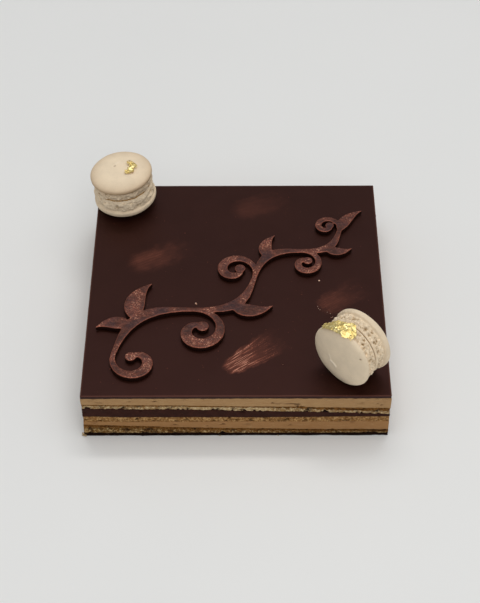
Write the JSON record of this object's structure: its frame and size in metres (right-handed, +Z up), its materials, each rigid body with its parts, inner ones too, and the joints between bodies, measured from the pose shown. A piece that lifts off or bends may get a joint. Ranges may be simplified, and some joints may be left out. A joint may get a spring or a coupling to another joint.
{
  "type": "opera cake",
  "caption": "Square layered almond sponge, coffee cream and ganache cake with chocolate glaze, a chocolate scroll and cream macarons.",
  "frame": {"origin": "centre of the cake's square underside, on the surface it rests on", "axes": "+Z up, -Y towards the front side, whose layers the standing macaron is nearest to, +X to the right along that side"},
  "size_m": [0.1634, 0.1665, 0.0693],
  "materials": {
    "chocolate_glaze": "smooth dark chocolate glaze, softly shiny",
    "chocolate_base": "thin brushed dark chocolate under the cake",
    "ganache": "smooth dark chocolate ganache, cut with a knife",
    "buttercream": "smooth coffee buttercream with small slits",
    "sponge": "open almond sponge crumb soaked with coffee syrup, darker along its baked skin",
    "dusted_chocolate": "chocolate dusted with copper lustre powder",
    "macaron_shell": "smooth matt almond shell with a ruffled foot",
    "macaron_filling": "soft vanilla cream",
    "gold_leaf": "crumpled edible gold leaf"
  },
  "bodies": {
    "root": {"chocolate_base": "chocolate_base", "sponge_bottom": "sponge", "buttercream_lower": "buttercream", "sponge_middle": "sponge", "ganache": "ganache", "sponge_top": "sponge", "buttercream_upper": "buttercream", "chocolate_glaze": "chocolate_glaze", "chocolate_scroll": "dusted_chocolate", "macaron_back_lower_shell": "macaron_shell", "macaron_back_filling": "macaron_filling", "macaron_back_upper_shell": "macaron_shell", "macaron_front_lower_shell": "macaron_shell", "macaron_front_filling": "macaron_filling", "macaron_front_upper_shell": "macaron_shell", "gold_leaf_back": "gold_leaf", "gold_leaf_front": "gold_leaf"}
  },
  "joints": []
}
